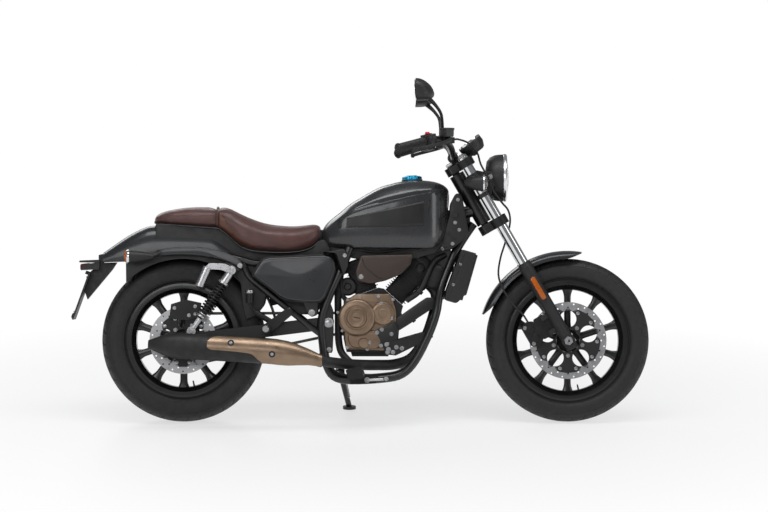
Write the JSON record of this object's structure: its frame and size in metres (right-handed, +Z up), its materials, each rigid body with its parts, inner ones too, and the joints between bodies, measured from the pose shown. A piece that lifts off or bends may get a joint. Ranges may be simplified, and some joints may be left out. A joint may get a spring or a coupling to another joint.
{
  "type": "cruiser motorcycle",
  "caption": "Small cruiser motorcycle parked on its side stand, with turning wheels, steering fork and folding stand.",
  "frame": {"origin": "on the ground under the middle of the whole machine's outline, as it leans on its side stand", "axes": "+X forward, +Y to the rider's left, +Z up; the machine itself leans 9 degrees towards +Y"},
  "size_m": [2.0727, 0.8522, 1.2731],
  "materials": {
    "black_frame": "satin black paint",
    "tank_paint": "dark grey metallic, glossy",
    "panel_paint": "dark grey metallic, satin",
    "dark_plastic": "textured",
    "blue_anodised": "anodised, polished",
    "seat_leather": "smooth brown leather",
    "bronze": "bronze satin paint",
    "engine_black": "satin black",
    "exhaust_black": "matte heat paint",
    "alloy_silver": "polished",
    "chrome": "polished",
    "steel": "ground",
    "rubber": "matte",
    "tyre": "matte",
    "rim_black": "gloss black"
  },
  "bodies": {
    "chassis": {"frame_backbone": "black_frame", "frame_cradle": "black_frame", "rear_subframe": "black_frame", "neck_covers": "dark_plastic", "fuel_tank": "tank_paint", "fuel_cap": "blue_anodised", "seat": "seat_leather", "side_covers": "panel_paint", "airbox_covers": "bronze", "crankcase": "engine_black", "engine_covers": "bronze", "cylinders": "engine_black", "radiator": "dark_plastic", "exhaust_headers": "exhaust_black", "silencer": "exhaust_black", "heat_shield": "bronze", "rear_mudguard": "panel_paint", "tail_bracket": "dark_plastic", "rear_indicators": "dark_plastic", "swingarm": "black_frame", "rear_shocks": "alloy_silver", "inner_mudguard": "dark_plastic", "drive_chain": "steel", "rear_brake": "engine_black", "rear_axle": "steel", "footpegs": "engine_black", "foot_levers": "alloy_silver"},
    "fork": {"fork_clamps": "engine_black", "fork_tubes": "chrome", "fork_sliders": "engine_black", "front_mudguard": "panel_paint", "headlight": "dark_plastic", "instrument": "dark_plastic", "handlebar": "black_frame", "hand_controls": "rubber", "mirrors": "dark_plastic", "front_indicators": "dark_plastic", "front_caliper": "engine_black", "front_brake_hose": "rubber", "front_axle": "steel"},
    "front_wheel": {"front_tyre": "tyre", "front_rim": "rim_black", "front_disc": "steel"},
    "rear_wheel": {"rear_tyre": "tyre", "rear_rim": "rim_black", "rear_disc": "steel", "rear_sprocket": "steel"},
    "side_stand": {"side_stand": "black_frame"}
  },
  "joints": [
    {"name": "steering", "type": "hinge", "parent": "chassis", "child": "fork", "pos_m": [0.39493, -0.03927, 0.79159], "axis": [-0.5, 0.1355, 0.8554], "range_deg": [-36, 36]},
    {"name": "front_wheel_spin", "type": "hinge", "parent": "fork", "child": "front_wheel", "pos_m": [0.7435, -0.11869, 0.2901], "axis": [0, 0.9877, -0.1564], "continuous": true},
    {"name": "rear_wheel_spin", "type": "hinge", "parent": "chassis", "child": "rear_wheel", "pos_m": [-0.6365, -0.11854, 0.29109], "axis": [0, 0.9877, -0.1564], "continuous": true},
    {"name": "stand_fold", "type": "hinge", "parent": "chassis", "child": "side_stand", "pos_m": [-0.0765, 0.01708, 0.15014], "axis": [0, 0.9135, 0.4067], "range_deg": [0, 98]}
  ]
}
